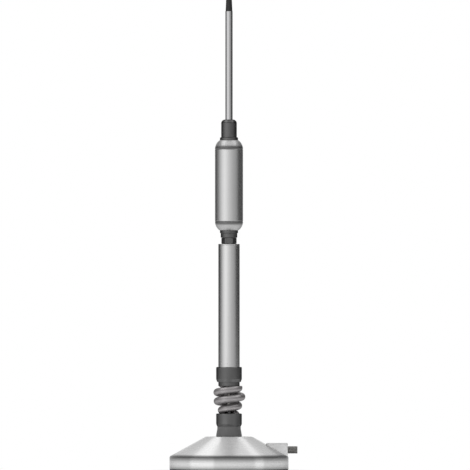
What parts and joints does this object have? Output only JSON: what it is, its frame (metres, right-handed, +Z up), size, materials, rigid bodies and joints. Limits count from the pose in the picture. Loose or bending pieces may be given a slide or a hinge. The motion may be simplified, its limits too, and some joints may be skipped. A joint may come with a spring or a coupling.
{
  "type": "cb antenna",
  "caption": "Mobile radio antenna on a round magnet base: barrel spring at its foot, straight mast, loading coil above it and a short whip that slides to tune it.",
  "frame": {"origin": "antenna axis on the underside of the rubber pad, where the base rests", "axes": "+Z up the mast, +X out of the coaxial jack on the base's side"},
  "size_m": [0.1344, 0.125, 0.5048],
  "materials": {
    "black_rubber": "matt rubber sheet",
    "plated_steel": "zinc-plated steel",
    "ceramic_magnet": "matt ceramic ferrite",
    "shell_metal": "spun, satin, with bright streaks",
    "jack_nickel": "nickel-plated brass",
    "white_insulator": "white fluoropolymer",
    "contact_brass": "bare brass",
    "lead_sleeve": "red sleeve",
    "bush_plastic": "dark grey nylon",
    "collar_metal": "black-nickel plate",
    "spring_steel": "dark tempered wire",
    "braid_copper": "tinned copper braid",
    "grub_steel": "black-oxide steel",
    "mast_metal": "satin, brushed along its length",
    "cap_plastic": "smooth grey moulding",
    "cover_finish": "satin silver",
    "former_glass": "glass-fibre tube",
    "winding_copper": "enamelled copper wire",
    "whip_steel": "drawn stainless rod",
    "tip_rubber": "black moulding"
  },
  "bodies": {
    "base": {"rubber_pad": "black_rubber", "yoke_cup": "plated_steel", "ring_magnet": "ceramic_magnet", "pole_core": "plated_steel", "core_screw": "plated_steel", "base_shell": "shell_metal", "jack_housing": "shell_metal", "housing_screws": "plated_steel", "jack_body": "jack_nickel", "jack_insulator": "white_insulator", "jack_contact": "contact_brass", "feed_tag": "contact_brass", "feed_lead": "lead_sleeve", "insulating_washer": "white_insulator", "stud_washer": "plated_steel", "stud_nut": "plated_steel", "antenna_stud": "plated_steel", "stud_bush": "bush_plastic", "lower_collar": "collar_metal", "barrel_spring": "spring_steel", "spring_braid": "braid_copper"},
    "upper": {"upper_collar": "collar_metal", "collar_grub": "grub_steel", "mast_tube": "mast_metal", "mast_plug": "mast_metal", "coil_stud": "plated_steel", "lock_nut": "collar_metal", "lower_ferrule": "collar_metal", "coil_lower_cap": "cap_plastic", "coil_upper_cap": "cap_plastic", "coil_cover": "cover_finish", "coil_former": "former_glass", "coil_winding": "winding_copper", "whip_ferrule": "collar_metal", "whip_grubs": "grub_steel"},
    "whip": {"whip": "whip_steel", "whip_tip": "tip_rubber"}
  },
  "joints": [
    {"name": "spring_lean", "type": "hinge", "parent": "base", "child": "upper", "pos_m": [0, 0, 0.07485], "axis": [0, 1, 0], "range_deg": [-18, 18], "stiffness_Nm_per_rad": 6, "deforming": ["barrel_spring", "spring_braid"]},
    {"name": "whip_slide", "type": "slide", "parent": "upper", "child": "whip", "axis": [0, 0, 1], "range_m": [-0.01, 0.012]}
  ]
}
